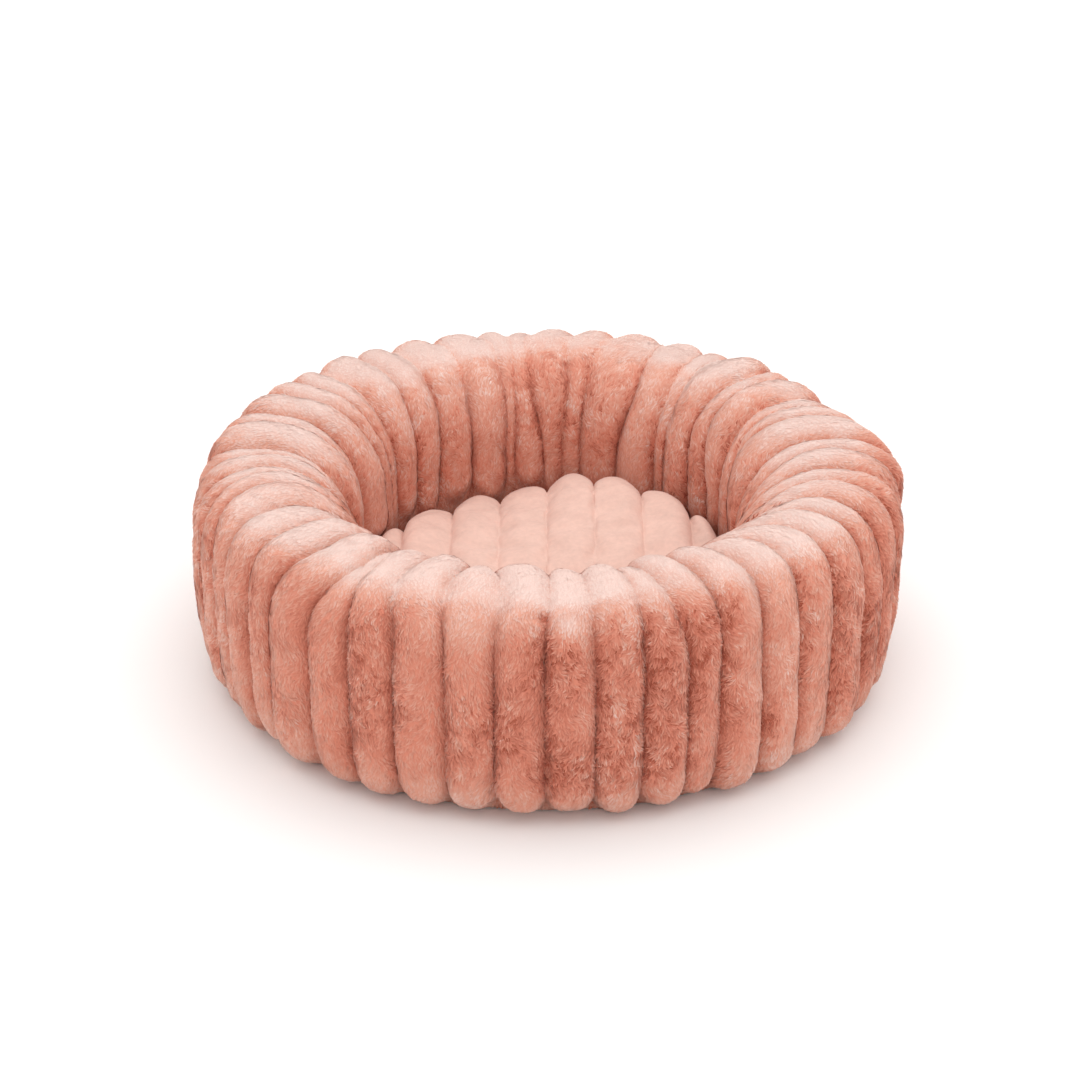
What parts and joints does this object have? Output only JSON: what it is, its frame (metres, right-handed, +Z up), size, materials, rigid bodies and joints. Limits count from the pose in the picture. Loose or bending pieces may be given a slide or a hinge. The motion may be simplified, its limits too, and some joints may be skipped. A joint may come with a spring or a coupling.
{
  "type": "donut pet bed",
  "caption": "Round ring-shaped pet bed with a channelled fur rim, a loose channelled cushion in the middle and zips underneath.",
  "frame": {"origin": "on the ground at the middle of the bed", "axes": "+Z up; -Y towards the sleeve's joined seam, which faces the viewer in the picture; +Y towards the zips"},
  "size_m": [0.5962, 0.5962, 0.182],
  "materials": {
    "rim_fur": "matte",
    "cushion_plush": "matte",
    "backing_cloth": "matte",
    "ground_cloth": "matte",
    "fibre_fill": "matte",
    "seam_tape": "matte",
    "zip_tape": "matte",
    "zip_coil": "satin",
    "zip_metal": "satin"
  },
  "bodies": {
    "rim": {"rim_cover": "rim_fur", "rim_lining": "backing_cloth", "rim_fill": "fibre_fill", "bottom_cloth": "ground_cloth", "outer_seam_tape": "seam_tape", "inner_seam_tape": "seam_tape", "base_pad": "fibre_fill", "pad_side_tape": "seam_tape", "floor_cloth": "backing_cloth", "rim_zip_tape_inner": "zip_tape", "rim_zip_tape_outer": "zip_tape", "rim_zip_coil_inner": "zip_coil", "rim_zip_coil_outer": "zip_coil", "rim_zip_stop_near": "zip_metal", "rim_zip_stop_far": "zip_metal"},
    "rim_slider": {"rim_zip_slider": "zip_metal"},
    "rim_pull": {"rim_zip_pull": "zip_metal"},
    "cushion": {"cushion_top": "cushion_plush", "cushion_bottom": "backing_cloth", "cushion_fill": "fibre_fill", "cushion_zip_tape_inner": "zip_tape", "cushion_zip_tape_outer": "zip_tape", "cushion_zip_coil_inner": "zip_coil", "cushion_zip_coil_outer": "zip_coil", "cushion_zip_stop_near": "zip_metal", "cushion_zip_stop_far": "zip_metal"},
    "cushion_slider": {"cushion_zip_slider": "zip_metal"}
  },
  "joints": [
    {"name": "cushion_lift", "type": "slide", "parent": "rim", "child": "cushion", "axis": [0, 0, 1], "range_m": [0, 0.2]},
    {"name": "rim_zip_slide", "type": "hinge", "parent": "rim", "child": "rim_slider", "pos_m": [0, 0, 0.0066], "axis": [0, 0, 1], "range_deg": [0, 68.8]},
    {"name": "rim_pull_swing", "type": "hinge", "parent": "rim_slider", "child": "rim_pull", "pos_m": [0.12947, 0.18889, 0.002], "axis": [-0.5654, -0.8248, 0], "range_deg": [0, 178]},
    {"name": "cushion_zip_slide", "type": "hinge", "parent": "cushion", "child": "cushion_slider", "pos_m": [0, 0, 0.025], "axis": [0, 0, 1], "range_deg": [0, 89]}
  ]
}
